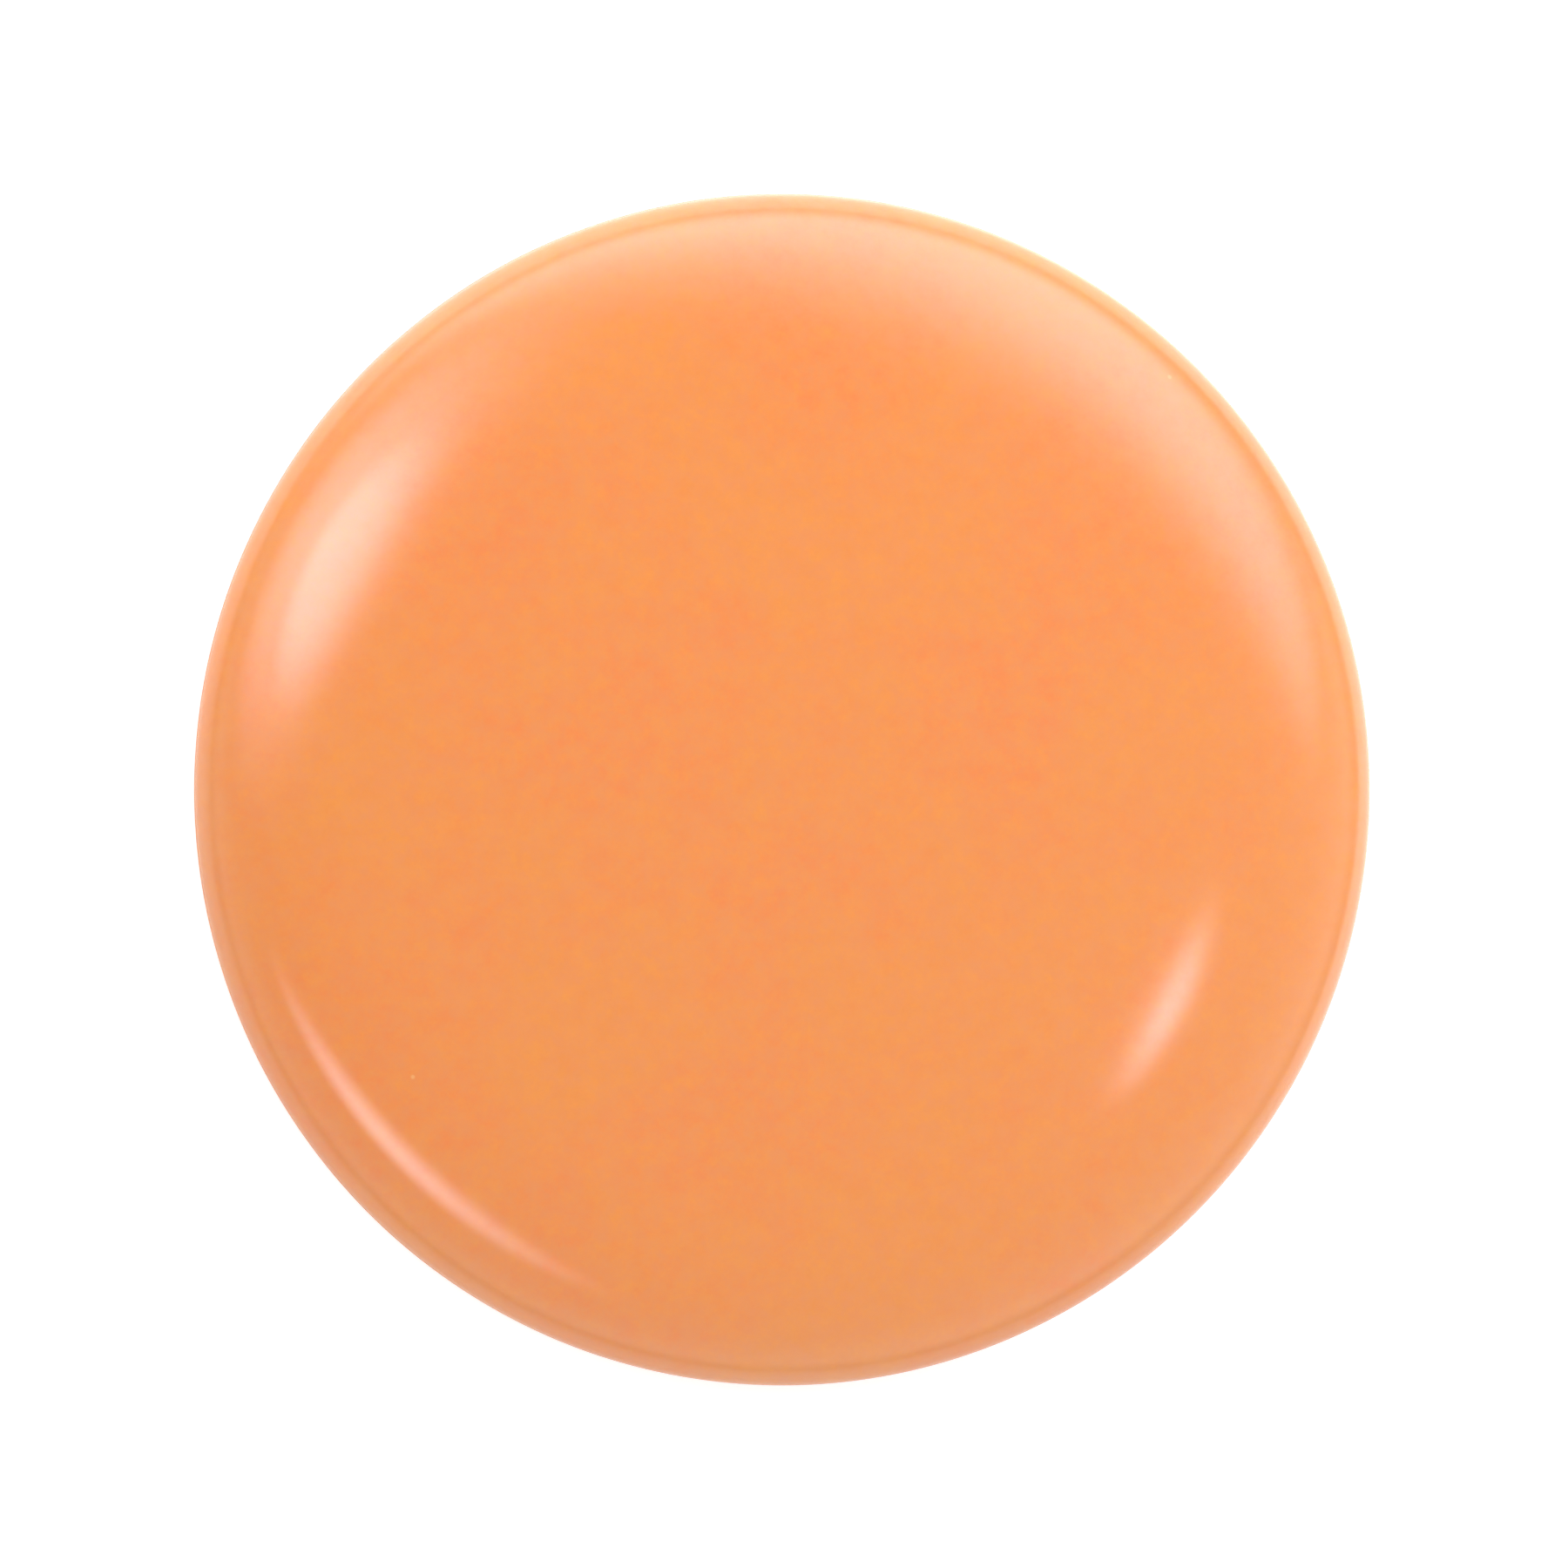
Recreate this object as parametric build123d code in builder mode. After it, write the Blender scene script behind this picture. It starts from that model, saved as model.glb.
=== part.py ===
"""Flying disc: one injection moulding in low-density polyethylene, with no other piece in it.

The frame stands on the surface that the disc lies on, with +Z up through the crown and the origin under
the middle of the disc. All sizes are in millimetres.
"""

import os
from math import asin, cos, degrees, radians, sin, tan

from build123d import *

# Overall size, over the parting line.
disc_diameter = 274.0
disc_height = 32.0

# Outer skin, from the crown outwards: a shallow dome, a long shoulder, then a cheek that tucks in to the foot.
dome_radius = 80.0  # how far out the dome runs before the shoulder takes over
dome_rise = 3.5
shoulder_lead = 0.4  # share of the way to the shoulder's corner at which it starts to turn
widest_height = 9.5  # height of the widest line, where the two halves of the mould part
cheek_radius = 18.0

# Walls.
plate_thickness = 1.95
rim_thickness = 6.5
inner_lead = 0.66
inner_wall_height = 9.0  # height at which the inside of the rim stops being straight
inner_draft = 1.5  # degrees, opening towards the foot
outer_foot_round = 0.9
inner_foot_round = 1.0

# Thin ridge that the mould leaves all round at the parting line.
parting_ridge_proud = 0.12
parting_ridge_width = 0.5
parting_ridge_round = 0.08

# Marks on the underside of the plate: a thickened pad round the gate, the trimmed gate stub, and the witness
# ring of the air poppet that frees the disc from the core.
gate_pad_radius = 12.0
gate_pad_depth = 0.55
gate_stub_radius = 2.3
gate_stub_depth = 0.9
poppet_ring_radius = 31.0
poppet_ring_width = 1.0
poppet_ring_depth = 0.3
mark_round = 0.25
mark_root = 0.6  # how far a mark reaches up into the plate, so that it is one solid with it

skin_radius = disc_diameter / 2 - parting_ridge_proud
inside_radius = skin_radius - rim_thickness

# The dome is one arc, level at the crown, and the underside of the plate is the same arc moved in.
dome_curve = (dome_radius**2 + dome_rise**2) / (2 * dome_rise)
dome_centre_height = disc_height - dome_curve
dome_angle = asin(dome_radius / dome_curve)
under_curve = dome_curve - plate_thickness


def on_dome(curve: float, angle: float) -> tuple[float, float]:
    """Radius and height of a point on a dome arc, at an angle from the crown."""
    return curve * sin(angle), dome_centre_height + curve * cos(angle)


def under_height(radius: float) -> float:
    """Height of the plate's underside at a radius within the dome."""
    return on_dome(under_curve, asin(radius / under_curve))[1]


def shoulder_points(start, corner_radius: float, end_height: float, lead: float) -> list:
    """Control points of a shoulder that carries on the dome from start and ends upright at corner_radius.

    The first three are in line, so the curve starts as flat as the dome and tightens towards the rim.
    """
    corner = (corner_radius, start[1] - (corner_radius - start[0]) * tan(dome_angle))
    turn = (start[0] + lead * (corner[0] - start[0]), start[1] + lead * (corner[1] - start[1]))
    return [start, turn, corner, (corner_radius, end_height)]


def make_disc() -> Part:
    """The whole moulding, as its half cross-section turned about Z."""
    crown = on_dome(dome_curve, 0)
    dome_end = on_dome(dome_curve, dome_angle)
    under_crown = on_dome(under_curve, 0)
    under_end = on_dome(under_curve, dome_angle)
    cheek_turn = asin(widest_height / cheek_radius)
    outer_foot = (skin_radius - cheek_radius * (1 - cos(cheek_turn)), 0)
    wall_top = (inside_radius, inner_wall_height)
    inner_foot = (inside_radius + inner_wall_height * tan(radians(inner_draft)), 0)

    with BuildPart() as disc:
        with BuildSketch(Plane.XZ) as section:
            with BuildLine():
                Line(under_crown, crown)
                ThreePointArc(crown, on_dome(dome_curve, dome_angle / 2), dome_end)
                Bezier(*shoulder_points(dome_end, skin_radius, widest_height, shoulder_lead))
                CenterArc(
                    (skin_radius - cheek_radius, widest_height),
                    radius=cheek_radius,
                    start_angle=0,
                    arc_size=-degrees(cheek_turn),
                )
                Polyline(outer_foot, inner_foot, wall_top)
                Bezier(*shoulder_points(under_end, inside_radius, inner_wall_height, inner_lead))
                ThreePointArc(under_end, on_dome(under_curve, dome_angle / 2), under_crown)
            make_face()
            fillet(section.vertices().group_by(Axis.Y)[0].sort_by(Axis.X)[-1], radius=outer_foot_round)
            fillet(section.vertices().group_by(Axis.Y)[0].sort_by(Axis.X)[0], radius=inner_foot_round)

            with Locations((skin_radius, widest_height)):
                Rectangle(2 * parting_ridge_proud, parting_ridge_width)
            fillet(section.vertices().group_by(Axis.X)[-1], radius=parting_ridge_round)

            add_mark(section, 0, gate_pad_radius, gate_pad_depth)
            add_mark(section, 0, gate_stub_radius, gate_pad_depth + gate_stub_depth)
            ring_inside = poppet_ring_radius - poppet_ring_width / 2
            add_mark(section, ring_inside, ring_inside + poppet_ring_width, poppet_ring_depth)
        revolve(axis=Axis.Z)
    return disc.part


def add_mark(section: BuildSketch, inside: float, outside: float, depth: float) -> None:
    """Adds a raised mark under the plate to the half cross-section, from one radius to another."""
    foot = under_height(outside) - depth
    with Locations((inside, foot)):
        Rectangle(outside - inside, depth + mark_root, align=(Align.MIN, Align.MIN))
    low_corners = [v for v in section.vertices() if abs(v.Y - foot) < 1e-6 and v.X > 1e-6]
    fillet(low_corners, radius=mark_round)


os.makedirs("parts", exist_ok=True)
disc = make_disc()
disc.label = "disc"
export_step(disc, "parts/disc.step")
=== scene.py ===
"""Looks for a one-piece flying disc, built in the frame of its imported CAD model. Lengths are in metres."""

import bpy
import numpy as np
from mathutils import Matrix, Vector


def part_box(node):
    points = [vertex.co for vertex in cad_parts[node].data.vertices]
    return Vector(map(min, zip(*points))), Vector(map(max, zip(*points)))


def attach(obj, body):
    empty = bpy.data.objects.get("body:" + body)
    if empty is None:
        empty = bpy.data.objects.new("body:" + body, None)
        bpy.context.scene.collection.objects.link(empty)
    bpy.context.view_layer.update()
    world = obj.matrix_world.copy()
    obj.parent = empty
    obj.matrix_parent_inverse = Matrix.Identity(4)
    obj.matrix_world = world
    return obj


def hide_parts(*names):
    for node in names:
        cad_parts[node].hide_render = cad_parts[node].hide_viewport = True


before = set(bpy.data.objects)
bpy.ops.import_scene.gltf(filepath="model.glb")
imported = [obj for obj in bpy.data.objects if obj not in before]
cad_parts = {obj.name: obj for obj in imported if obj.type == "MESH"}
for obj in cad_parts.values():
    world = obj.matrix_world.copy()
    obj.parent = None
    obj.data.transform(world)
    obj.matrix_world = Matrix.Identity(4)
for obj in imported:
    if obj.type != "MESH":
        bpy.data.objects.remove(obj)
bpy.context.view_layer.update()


# ---- The disc ----
# A single injection moulding in orange low-density polyethylene: a thin domed plate that thickens into a rim.
# It is made here as its cross-section carried round the Z axis, with the marks that the mould leaves in it.

MM = 0.001
low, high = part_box("disc")
disc_radius = min(high.x - low.x, high.y - low.y) / 2
crown_height = high.z - low.z

ridge_proud = 0.12 * MM  # the parting line's ridge, round the widest line
ridge_half_width = 0.25 * MM
skin_radius = disc_radius - ridge_proud
widest_height = 9.5 * MM
cheek_radius = 18.0 * MM

dome_radius = 80.0 * MM
dome_rise = 3.5 * MM
plate_thickness = 1.95 * MM
dome_curve = (dome_radius**2 + dome_rise**2) / (2 * dome_rise)
dome_centre = crown_height - dome_curve
dome_slope = dome_radius / (dome_curve - dome_rise)
under_curve = dome_curve - plate_thickness

rim_thickness = 6.5 * MM
inside_radius = skin_radius - rim_thickness
inner_wall_height = 9.0 * MM
inner_draft = np.tan(np.radians(1.5))
foot_inside = inside_radius + inner_wall_height * inner_draft
foot_outside = skin_radius - cheek_radius + np.sqrt(cheek_radius**2 - widest_height**2)


def spread(count):
    """Numbers from 0 to 1, closer together at both ends: half of one minus the cosine of equal steps of pi."""
    return (1 - np.cos(np.linspace(0, np.pi, count))) / 2


def straight(a, b, count):
    """Points on the line from a to b: a plus a share of the way from a to b."""
    return np.array(a) + spread(count)[:, None] * (np.array(b) - np.array(a))


def soft_corner(a, corner, b, count):
    """A rounded corner from a to b: a, corner and b mixed by the squares of 1 - t and t, and twice their product."""
    t = np.linspace(0, 1, count)[:, None]
    return (1 - t) ** 2 * np.array(a) + 2 * t * (1 - t) * np.array(corner) + t**2 * np.array(b)


def dome(curve, start, end, count):
    """Points on an arc centred on the axis: the height is the root of its radius squared less the reach squared."""
    reach = start + spread(count) * (end - start)
    return np.column_stack([reach, dome_centre + np.sqrt(curve**2 - reach**2)])


def shoulder(start, corner_radius, end_height, lead, count):
    """The cubic curve that leaves the dome in line with it and ends upright at corner_radius.

    Its four control points are the start, a share of the way to the corner, the corner and the end, and they are
    mixed by the four terms of (1 - t) + t cubed.
    """
    start = np.array(start)
    corner = np.array([corner_radius, start[1] - (corner_radius - start[0]) * dome_slope])
    turn = start + lead * (corner - start)
    end = np.array([corner_radius, end_height])
    t = np.linspace(0, 1, count)[:, None]
    return (1 - t) ** 3 * start + 3 * t * (1 - t) ** 2 * turn + 3 * t**2 * (1 - t) * corner + t**3 * end


def under_height(reach):
    """Height of the plate's underside: the root of the arc's radius squared less the reach squared."""
    return dome_centre + np.sqrt(under_curve**2 - reach**2)


# The underside, from the axis outwards: the trimmed gate stub, the pad round it, and the air poppet's ring.
stub_radius = 2.3 * MM
pad_radius = 12.0 * MM
pad_face = under_height(pad_radius) - 0.55 * MM
stub_face = pad_face - 0.82 * MM
ring_inside, ring_outside = 30.5 * MM, 31.5 * MM
ring_face = under_height(ring_outside) - 0.3 * MM
mark_round = 0.22 * MM
thinner = under_curve / dome_curve
under_end = (dome_radius * thinner, dome_centre + (dome_curve - dome_rise) * thinner)


def raised_step(reach, top, bottom, outward):
    """The side of a raised mark, with a small round at its root (top) and at its edge (bottom)."""
    out = outward * mark_round
    root = soft_corner((reach + out, top), (reach, top), (reach, top - mark_round), 5)
    edge = soft_corner((reach, bottom + mark_round), (reach, bottom), (reach - out, bottom), 5)
    return np.vstack([root, edge])


plate_under = np.vstack(
    [
        straight((0, stub_face), (stub_radius - mark_round, stub_face), 6)[:-1],
        raised_step(stub_radius, pad_face, stub_face, 1)[::-1],
        straight((stub_radius + mark_round, pad_face), (pad_radius - mark_round, pad_face), 9)[1:-1],
        raised_step(pad_radius, under_height(pad_radius), pad_face, 1)[::-1],
        dome(under_curve, pad_radius + mark_round, ring_inside - mark_round, 10)[1:-1],
        raised_step(ring_inside, under_height(ring_inside), ring_face, -1),
        raised_step(ring_outside, under_height(ring_outside), ring_face, 1)[::-1],
        dome(under_curve, ring_outside + mark_round, under_end[0], 14)[1:],
    ]
)

# The inside of the rim, from the plate down to the foot.
foot_round_inside, foot_round_outside = 1.0 * MM, 0.55 * MM
inner_wall_foot = (foot_inside - foot_round_inside * inner_draft, foot_round_inside)
foot_start = (foot_inside + foot_round_inside, 0)
foot_end = (foot_outside - foot_round_outside, 0)
rim_inside = np.vstack(
    [
        shoulder(under_end, inside_radius, inner_wall_height, 0.66, 46)[1:],
        straight((inside_radius, inner_wall_height), inner_wall_foot, 8)[1:-1],
        soft_corner(inner_wall_foot, (foot_inside, 0), foot_start, 10),
    ]
)

# The flat foot, the cheek, and the parting line's ridge.
cheek_start = np.arcsin(widest_height / cheek_radius) - foot_round_outside / cheek_radius
cheek_turn = np.linspace(cheek_start, ridge_half_width / cheek_radius, 20)
cheek = np.column_stack(
    [
        skin_radius - cheek_radius * (1 - np.cos(cheek_turn)),
        widest_height - cheek_radius * np.sin(cheek_turn),
    ]
)
foot = np.vstack(
    [
        straight(foot_start, foot_end, 6)[1:-1],
        soft_corner(foot_end, (foot_outside, 0), cheek[0], 8)[:-1],
    ]
)
ridge_under, ridge_over = widest_height - ridge_half_width, widest_height + ridge_half_width
ridge_crest = (disc_radius, widest_height)
ridge = np.vstack(
    [
        soft_corner((skin_radius, ridge_under), (disc_radius, ridge_under), ridge_crest, 5),
        soft_corner(ridge_crest, (disc_radius, ridge_over), (skin_radius, ridge_over), 5)[1:],
    ]
)

# The shoulder, starting just above the ridge, and the dome up to the crown.
dome_end = (dome_radius, crown_height - dome_rise)
outer_shoulder = shoulder(dome_end, skin_radius, widest_height, 0.4, 76)[::-1]
outer_shoulder = outer_shoulder[outer_shoulder[:, 1] > widest_height + ridge_half_width * 1.5]
skin = np.vstack([outer_shoulder, dome(dome_curve, dome_radius, 0, 24)[1:]])

section = np.vstack([plate_under, rim_inside, foot, cheek, ridge, skin])
section[0, 0] = section[-1, 0] = 0

# Where the plastic is rubbed: fully at the foot and on the ridge, less on the cheek, and a little down the outside.
foot_wear_height = 3.5 * MM
cheek_wear_depth = 4 * MM
satin_top, satin_fade, satin = 20 * MM, 4.5 * MM, 0.36
skin_row = len(section) - len(skin)
ridge_row = skin_row - len(ridge)
cheek_row = ridge_row - len(cheek)
cheek_wear = 0.7 * np.clip(1 - (widest_height - cheek[:, 1]) / cheek_wear_depth, 0, 1) ** 2
rubbed_here = np.clip(1 - section[:, 1] / foot_wear_height, 0, 1)
rubbed_here[: len(plate_under)] = 0
rubbed_here[cheek_row:ridge_row] = np.maximum(rubbed_here[cheek_row:ridge_row], cheek_wear)
rubbed_here[ridge_row:skin_row] = 1
rubbed_here[skin_row:] = satin * np.clip((satin_top - skin[:, 1]) / satin_fade, 0, 1)

# The satin inside ends on the first row of the foot.
inside_here = (np.arange(len(section)) <= len(plate_under) + len(rim_inside)).astype(float)

turns = 360


def turned(profile, angle):
    """Every point of the profile carried round Z: radius times cosine and sine of the angle, at its own height."""
    reach, height = profile[:, 0:1], profile[:, 1:2]
    return np.stack([reach * np.cos(angle), reach * np.sin(angle), height + 0 * angle], axis=-1)


def ring_faces(rows):
    """Four-sided faces between neighbouring rows of the grid, closed round in a circle, facing outwards."""
    row, column = np.meshgrid(np.arange(rows - 1), np.arange(turns), indexing="ij")
    after = (column + 1) % turns
    corners = [row * turns + column, row * turns + after, (row + 1) * turns + after, (row + 1) * turns + column]
    return np.stack(corners, axis=-1).reshape(-1, 4)


def make_disc():
    """The grid of points without its two poles, plus one point at each pole and a fan of triangles round it."""
    angle = np.linspace(0, 2 * np.pi, turns, endpoint=False)
    grid = turned(section[1:-1], angle)
    reach = np.hypot(grid[..., 0], grid[..., 1])
    # The ridge stands a little less proud in places, as the mould halves wear: three sines added up round the disc.
    worn = 0.22 + 0.14 * np.sin(3 * angle + 0.7) + 0.1 * np.sin(7 * angle + 2.0) + 0.06 * np.sin(17 * angle)
    on_ridge = np.abs(grid[..., 2] - widest_height) < 0.3 * MM
    proud = np.clip(reach - skin_radius, 0, None) * on_ridge
    grid[..., :2] *= ((reach - proud * np.clip(worn, 0, 0.6)) / reach)[..., None]
    # The stub was cut by hand, so its face slopes along X and ripples along Y, more towards the middle.
    cut_slope, ripple_height, ripple_length = 0.045, 0.03 * MM, 0.35 * MM
    on_stub = grid[..., 2] < pad_face - 0.3 * MM
    cut = np.clip(1 - reach / stub_radius, 0, 1) ** 0.3 * on_stub
    grid[..., 2] += cut * (grid[..., 0] * cut_slope + ripple_height * np.sin(grid[..., 1] / ripple_length))

    points = np.vstack([grid.reshape(-1, 3), [[0, 0, stub_face]], [[0, 0, crown_height]]])
    rows = len(section) - 2
    under_pole, crown_pole = len(points) - 2, len(points) - 1
    column = np.arange(turns)
    after = (column + 1) % turns
    last = (rows - 1) * turns
    fan_under = np.column_stack([np.full(turns, under_pole), after, column])
    fan_crown = np.column_stack([np.full(turns, crown_pole), last + column, last + after])
    mesh = bpy.data.meshes.new("disc_moulding")
    mesh.from_pydata(points.tolist(), [], ring_faces(rows).tolist() + fan_under.tolist() + fan_crown.tolist())
    mesh.update()
    mesh.polygons.foreach_set("use_smooth", np.ones(len(mesh.polygons), bool))
    for name, here in (("rubbed", rubbed_here), ("inside", inside_here)):
        values = np.concatenate([np.repeat(here[1:-1], turns), here[[0, -1]]])
        layer = mesh.attributes.new(name, "FLOAT", "POINT")
        layer.data.foreach_set("value", values.astype(np.float32))
    moulding = bpy.data.objects.new("disc_moulding", mesh)
    bpy.context.scene.collection.objects.link(moulding)
    return moulding


class Finish:
    """An emptied node tree, with short ways to add to it. A value is a number or another node's output."""

    def __init__(self, owner):
        owner.use_nodes = True
        owner.node_tree.nodes.clear()
        self.new = owner.node_tree.nodes.new
        self.link = owner.node_tree.links.new

    def put(self, value, socket):
        """Links the socket to an output, or sets it to a number or colour."""
        if isinstance(value, bpy.types.NodeSocket):
            self.link(value, socket)
        else:
            socket.default_value = value

    def sum_of(self, kind, a, b=0.0):
        node = self.new("ShaderNodeMath")
        node.operation = kind
        self.put(a, node.inputs[0])
        self.put(b, node.inputs[1])
        return node.outputs[0]

    def between(self, value, low, high, to_low=0.0, to_high=1.0, kind="SMOOTHSTEP"):
        """Goes from to_low to to_high as the value goes from low to high."""
        node = self.new("ShaderNodeMapRange")
        node.interpolation_type = kind
        self.link(value, node.inputs["Value"])
        for name, number in (("From Min", low), ("From Max", high), ("To Min", to_low), ("To Max", to_high)):
            node.inputs[name].default_value = number
        return node.outputs["Result"]

    def along(self, vector, axis):
        """How far a vector goes along an axis."""
        node = self.new("ShaderNodeVectorMath")
        node.operation = "DOT_PRODUCT"
        node.inputs[1].default_value = axis
        self.link(vector, node.inputs[0])
        return node.outputs["Value"]

    def noise(self, where, scale, detail, roughness):
        node = self.new("ShaderNodeTexNoise")
        node.inputs["Scale"].default_value = scale
        node.inputs["Detail"].default_value = detail
        node.inputs["Roughness"].default_value = roughness
        self.link(where, node.inputs["Vector"])
        return node.outputs["Fac"]

    def tinted(self, amount, a, b):
        """A colour that goes from a to b with the amount."""
        node = self.new("ShaderNodeMix")
        node.data_type = "RGBA"
        self.link(amount, node.inputs["Factor"])
        for number, colour in ((6, a), (7, b)):  # the node's two colour sockets
            self.put((*colour, 1) if isinstance(colour, tuple) else colour, node.inputs[number])
        return node.outputs[2]

    def attribute(self, name):
        node = self.new("ShaderNodeAttribute")
        node.attribute_name = name
        return node.outputs["Fac"]


def orange_polyethylene():
    """Glossy orange plastic: clouded pigment, fine mottle, a few specks, tool marks inside, rubbed edges."""
    material = bpy.data.materials.new("orange_polyethylene")
    finish = Finish(material)
    sum_of, between, tinted = finish.sum_of, finish.between, finish.tinted
    output = finish.new("ShaderNodeOutputMaterial")
    plastic = finish.new("ShaderNodeBsdfPrincipled")
    finish.link(plastic.outputs["BSDF"], output.inputs["Surface"])
    plastic.inputs["IOR"].default_value = 1.8
    plastic.inputs["Subsurface Weight"].default_value = 0.3
    plastic.inputs["Subsurface Radius"].default_value = (1.0, 0.45, 0.15)
    plastic.inputs["Subsurface Scale"].default_value = 3 * MM
    place = finish.new("ShaderNodeTexCoord").outputs["Object"]
    inside = finish.attribute("inside")
    rubbed = finish.attribute("rubbed")

    def noise(scale, detail, roughness=0.5):
        return finish.noise(place, scale, detail, roughness)

    # Colour: broad clouds of pigment, a finer mottle, and pale specks, one in each picked cell of the plastic.
    clouds = between(noise(26, 3), 0.35, 0.65)
    yellow_mottle = between(noise(170, 5, 0.8), 0.3, 0.7)
    pale_mottle = between(noise(205, 5, 0.8), 0.3, 0.7)
    colour = tinted(clouds, (0.880, 0.258, 0.063), (0.850, 0.292, 0.057))
    colour = tinted(sum_of("MULTIPLY", yellow_mottle, 0.7), colour, (0.895, 0.332, 0.057))
    colour = tinted(sum_of("MULTIPLY", pale_mottle, 0.7), colour, (0.830, 0.298, 0.094))
    cells = finish.new("ShaderNodeTexVoronoi")
    cells.inputs["Scale"].default_value = 34
    finish.link(place, cells.inputs["Vector"])
    picked = finish.new("ShaderNodeSeparateColor")
    finish.link(cells.outputs["Color"], picked.inputs["Color"])
    speck = between(cells.outputs["Distance"], 0.012, 0.024, 1.0, 0.0)
    speck = sum_of("MULTIPLY", speck, sum_of("GREATER_THAN", picked.outputs["Red"], 0.8))
    colour = tinted(sum_of("MULTIPLY", speck, 0.5), colour, (0.95, 0.55, 0.20))

    # Wear: the foot and the widest line are rubbed dull and a little pale, in patches.
    patches = sum_of("MULTIPLY", rubbed, between(noise(160, 5, 0.65), 0.38, 0.62))
    colour = tinted(sum_of("MULTIPLY", patches, 0.2), colour, (0.86, 0.44, 0.20))
    finish.link(colour, plastic.inputs["Base Color"])

    # Gloss: polished outside, satin from the tool inside, dull where it is rubbed.
    haze = between(noise(30, 4), 0.3, 0.7, 0.09, 0.12)
    roughness = sum_of("ADD", haze, sum_of("MULTIPLY", inside, 0.14))
    roughness = sum_of("ADD", roughness, sum_of("MULTIPLY", rubbed, 0.32))
    roughness = sum_of("ADD", roughness, sum_of("MULTIPLY", patches, 0.08))
    finish.link(roughness, plastic.inputs["Roughness"])

    # Relief: a trace of orange peel, the core's turning marks inside (a sine of the reach), and scuffs in the patches.
    split = finish.new("ShaderNodeSeparateXYZ")
    finish.link(place, split.inputs["Vector"])
    x, y = split.outputs["X"], split.outputs["Y"]
    reach = sum_of("SQRT", sum_of("ADD", sum_of("MULTIPLY", x, x), sum_of("MULTIPLY", y, y)))
    grooves = sum_of("SINE", sum_of("MULTIPLY", reach, 7000.0))
    marks = sum_of("MULTIPLY", sum_of("MULTIPLY", grooves, inside), 0.5)
    scuffs = sum_of("MULTIPLY", noise(1400, 3), sum_of("MULTIPLY", patches, 3.0))
    peel = sum_of("MULTIPLY", noise(260, 2), 0.8)
    bump = finish.new("ShaderNodeBump")
    bump.inputs["Strength"].default_value = 0.5
    bump.inputs["Distance"].default_value = 0.01 * MM
    finish.link(sum_of("ADD", sum_of("ADD", peel, marks), scuffs), bump.inputs["Height"])
    finish.link(bump.outputs["Normal"], plastic.inputs["Normal"])
    return material


disc = make_disc()
disc.data.materials.append(orange_polyethylene())
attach(disc, "root")
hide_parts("disc")


# ---- The table ----
# A pale, matt table top with a soft glow of its own, which stands in for the light that it would bounce.
# Only its upper face shows, so the disc can be seen from beneath.


def make_table():
    """One flat, many-sided face: its corners are the table's reach times cosine and sine of equal angles."""
    sides, table_reach = 96, 8
    angle = np.linspace(0, 2 * np.pi, sides, endpoint=False)
    points = np.column_stack([table_reach * np.cos(angle), table_reach * np.sin(angle), 0 * angle])
    mesh = bpy.data.meshes.new("table_top")
    mesh.from_pydata(points.tolist(), [], [list(range(sides))])
    table = bpy.data.objects.new("table_top", mesh)
    bpy.context.scene.collection.objects.link(table)
    return table


def table_finish():
    """Matt white with a glow on the upper face, and clear from below."""
    material = bpy.data.materials.new("matt_white_table")
    finish = Finish(material)
    output = finish.new("ShaderNodeOutputMaterial")
    paint = finish.new("ShaderNodeBsdfPrincipled")
    paint.inputs["Base Color"].default_value = (0.55, 0.55, 0.545, 1)
    paint.inputs["Roughness"].default_value = 0.9
    paint.inputs["Specular IOR Level"].default_value = 0.0
    paint.inputs["Emission Color"].default_value = (1, 1, 1, 1)
    place = finish.new("ShaderNodeTexCoord").outputs["Object"]
    distance = finish.new("ShaderNodeVectorMath")
    distance.operation = "LENGTH"
    finish.link(place, distance.inputs[0])
    away = distance.outputs["Value"]

    # The glow that lights the disc grows towards the window. The glow that is seen is a pool of light round the disc.
    # Both are dimmer under the disc.
    bounce = finish.between(finish.along(place, (0.45, 0.893, 0)), -0.15, 0.15, 0.45, 1.25)
    pool = finish.between(away, 0.25, 0.7, 0.7, 0.15)
    shade = finish.between(away, 0.130, 0.138, 0.7, 1.0, "LINEAR")
    path = finish.new("ShaderNodeLightPath")
    glow = finish.new("ShaderNodeMix")
    finish.link(path.outputs["Is Camera Ray"], glow.inputs["Factor"])
    finish.link(bounce, glow.inputs["A"])
    finish.link(pool, glow.inputs["B"])
    finish.link(finish.sum_of("MULTIPLY", glow.outputs["Result"], shade), paint.inputs["Emission Strength"])

    clear = finish.new("ShaderNodeBsdfTransparent")
    side = finish.new("ShaderNodeNewGeometry")
    mix = finish.new("ShaderNodeMixShader")
    finish.link(side.outputs["Backfacing"], mix.inputs["Fac"])
    finish.link(paint.outputs["BSDF"], mix.inputs[1])
    finish.link(clear.outputs["BSDF"], mix.inputs[2])
    finish.link(mix.outputs["Shader"], output.inputs["Surface"])
    return material


table = make_table()
table.data.materials.append(table_finish())


# ---- The light ----
# A pale room that is brighter low down, with a wide window and three smaller soft lights high above the disc. All of
# it dims near the horizon, so that low views of the gloss wash out less. The camera sees a plain backdrop instead.


def toward(azimuth, tilt):
    """The direction at an azimuth from +X and a tilt from straight up, in degrees."""
    a, t = np.radians(azimuth), np.radians(tilt)
    return Vector((np.sin(t) * np.cos(a), np.sin(t) * np.sin(a), np.cos(t)))


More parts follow.
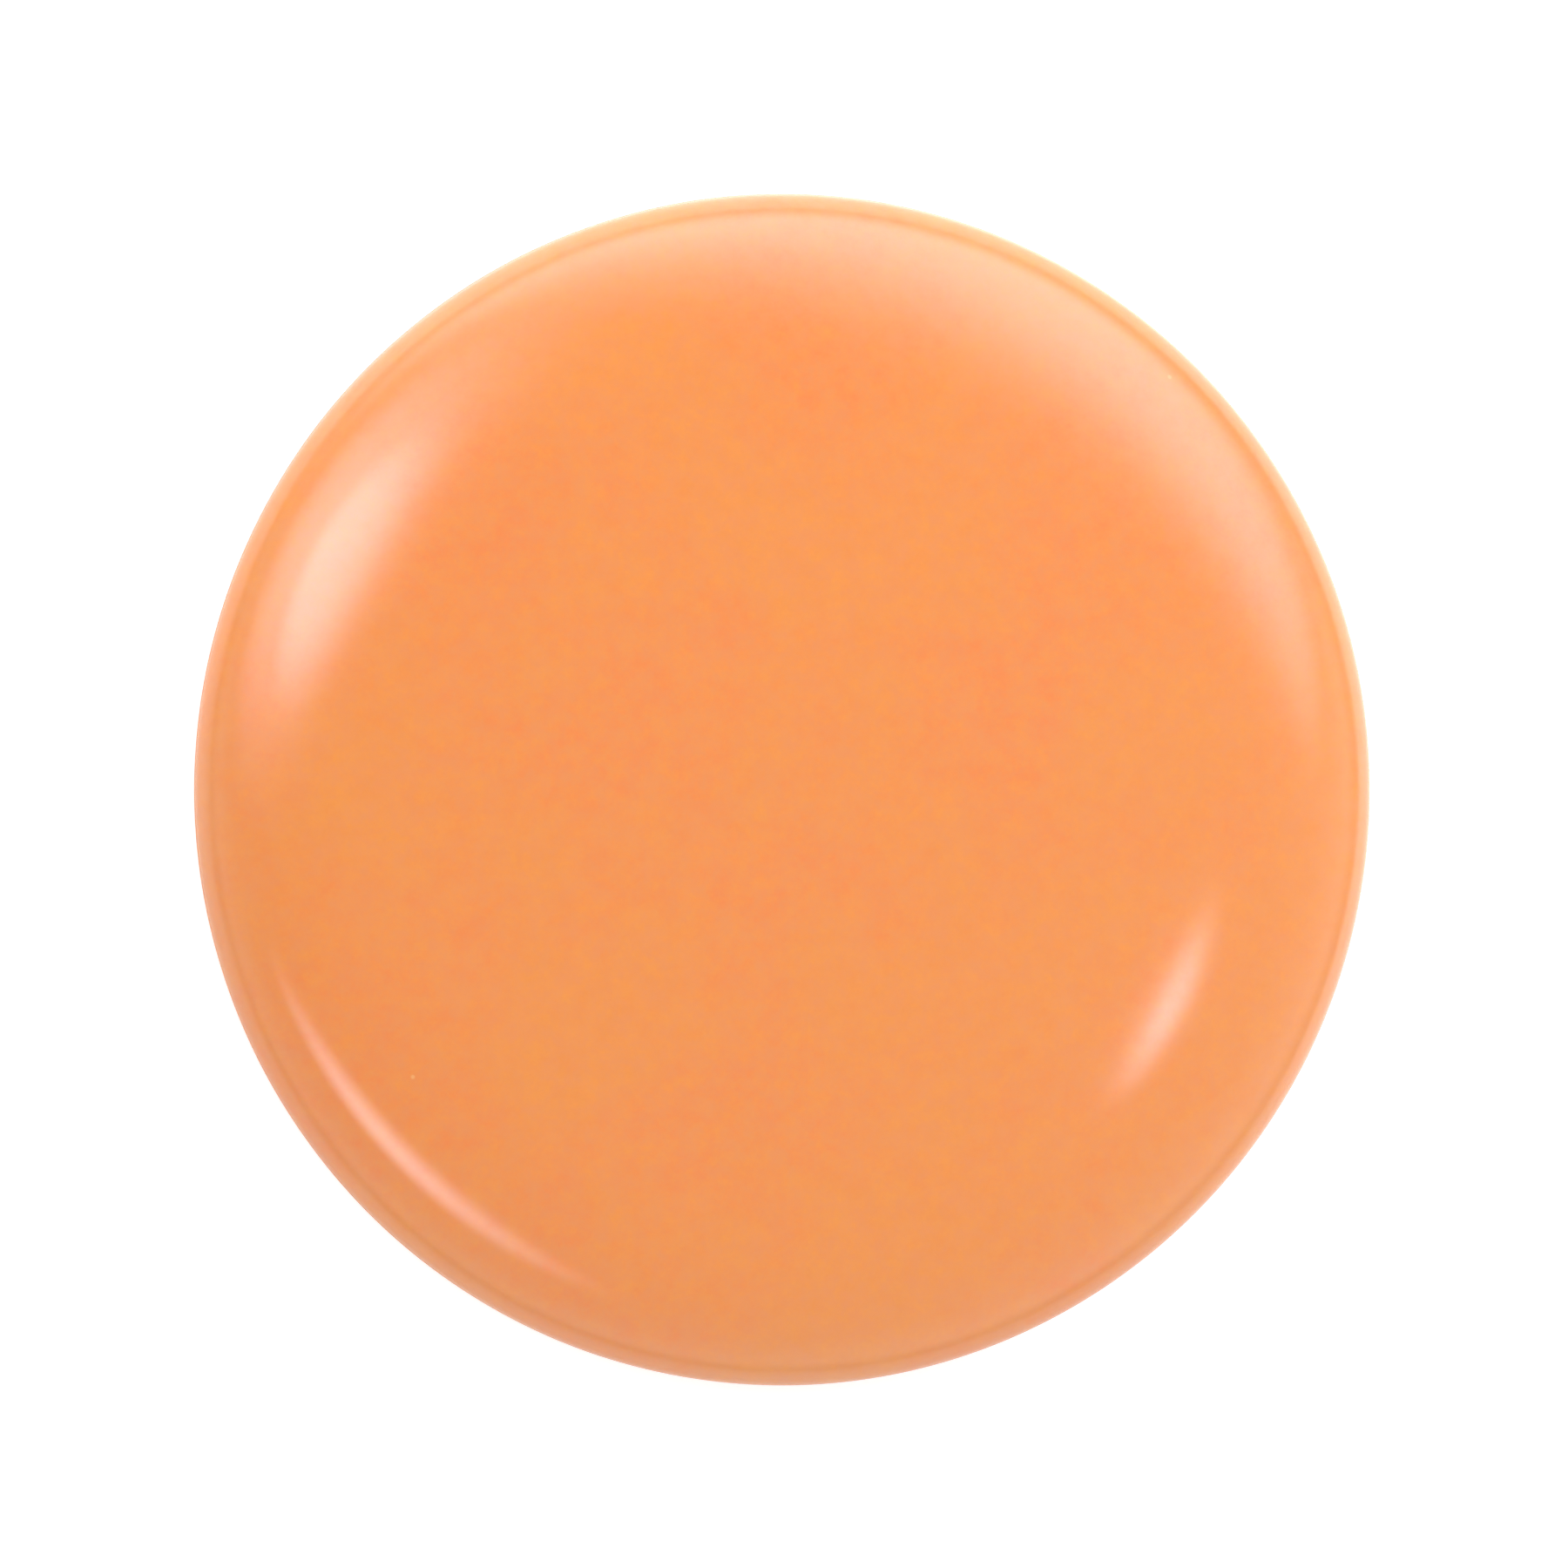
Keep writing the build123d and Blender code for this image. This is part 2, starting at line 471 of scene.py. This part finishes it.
def studio_light():
    """World light: the room's gradient plus one soft-edged oval per lamp, and the backdrop."""
    world = bpy.data.worlds.new("soft_studio")
    bpy.context.scene.world = world
    finish = Finish(world)
    sum_of, between = finish.sum_of, finish.between
    direction = finish.new("ShaderNodeTexCoord").outputs["Generated"]

    def lamp(azimuth, tilt, turn, length, width, edge, brightness):
        """An oval seen at azimuth and tilt, its long side turned from the radial, soft over the outer share edge."""
        centre = toward(azimuth, tilt)
        radial = toward(azimuth, tilt + 90)
        sideways = centre.cross(radial)
        c, s = np.cos(np.radians(turn)), np.sin(np.radians(turn))
        ahead = finish.along(direction, centre)
        half_length = sum_of("MULTIPLY", ahead, np.tan(np.radians(length)))
        half_width = sum_of("MULTIPLY", ahead, np.tan(np.radians(width)))
        u = sum_of("DIVIDE", finish.along(direction, radial * c + sideways * s), half_length)
        v = sum_of("DIVIDE", finish.along(direction, sideways * c - radial * s), half_width)
        off_centre = sum_of("SQRT", sum_of("ADD", sum_of("MULTIPLY", u, u), sum_of("MULTIPLY", v, v)))
        oval = between(off_centre, 1 - edge, 1, brightness, 0)
        return sum_of("MULTIPLY", oval, sum_of("GREATER_THAN", ahead, 0.05))

    height = finish.along(direction, (0, 0, 1))
    horizon = between(height, 0.0, 0.14, 0.35, 0.0)
    room = sum_of("ADD", between(height, 0.0, 1.0, 1.3, 0.34), finish.along(direction, (0.21, -0.13, 0)))
    room = sum_of("MULTIPLY", room, sum_of("ADD", horizon, between(height, 0.08, 0.42, 0.35, 1.0)))
    daylight = 0.0
    for settings in (
        (88.7, 76.9, -43, 45.4, 80, 0.86, 2.5),  # the window
        (144.3, 24.9, -51.5, 11.2, 13.7, 0.67, 2.75),  # the key light's middle
        (143.4, 36.9, -54.4, 24.7, 30.2, 1.0, 2.7),  # and its wide fall-off
        (232.2, 34.8, 95.4, 21, 7.2, 1.0, 3.3),  # a strip
        (340.5, 26.6, 88, 5.2, 2.1, 0.9, 6.0),  # a small lamp
    ):
        daylight = sum_of("ADD", daylight, lamp(*settings))
    daylight = sum_of("MULTIPLY", daylight, sum_of("ADD", horizon, between(height, 0.12, 0.48, 0.2, 1.0)))

    backdrop, from_room, from_lamps = (finish.new("ShaderNodeBackground") for _ in range(3))
    for background, colour, strength in (
        (backdrop, (1, 1, 1, 1), 0.8),
        (from_room, (1, 1, 1, 1), room),
        (from_lamps, (0.9, 0.9, 1.05, 1), daylight),
    ):
        background.inputs["Color"].default_value = colour
        finish.put(strength, background.inputs["Strength"])
    lights = finish.new("ShaderNodeAddShader")
    finish.link(from_room.outputs["Background"], lights.inputs[0])
    finish.link(from_lamps.outputs["Background"], lights.inputs[1])
    path = finish.new("ShaderNodeLightPath")
    mix = finish.new("ShaderNodeMixShader")
    output = finish.new("ShaderNodeOutputWorld")
    finish.link(path.outputs["Is Camera Ray"], mix.inputs["Fac"])
    finish.link(lights.outputs["Shader"], mix.inputs[1])
    finish.link(backdrop.outputs["Background"], mix.inputs[2])
    finish.link(mix.outputs["Shader"], output.inputs["Surface"])


studio_light()
bpy.context.scene.view_settings.view_transform = "Standard"


# ---- The camera ----
# A long lens looking almost straight down, leaning a little towards -X.

camera_data = bpy.data.cameras.new("camera")
camera = bpy.data.objects.new("camera", camera_data)
bpy.context.scene.collection.objects.link(camera)
bpy.context.scene.camera = camera
camera_distance = 1.6
filled = 0.76  # share of the picture's height that the disc takes up
picture_width = 2 * disc_radius / filled
camera_data.sensor_width = 36
camera_data.lens = camera_data.sensor_width * camera_distance / picture_width
camera_data.clip_end = 50
lean = np.radians(9.6)
back = Vector((-np.sin(lean), 0, np.cos(lean)))
right = Vector((np.cos(lean), 0, np.sin(lean)))
up = Vector((0, 1, 0))
aim = Vector((0, 0, widest_height)) - right * 1.4 * MM + up * 1.3 * MM
camera.location = aim + back * camera_distance
camera.rotation_mode = "QUATERNION"
camera.rotation_quaternion = Matrix((right, up, back)).transposed().to_quaternion()
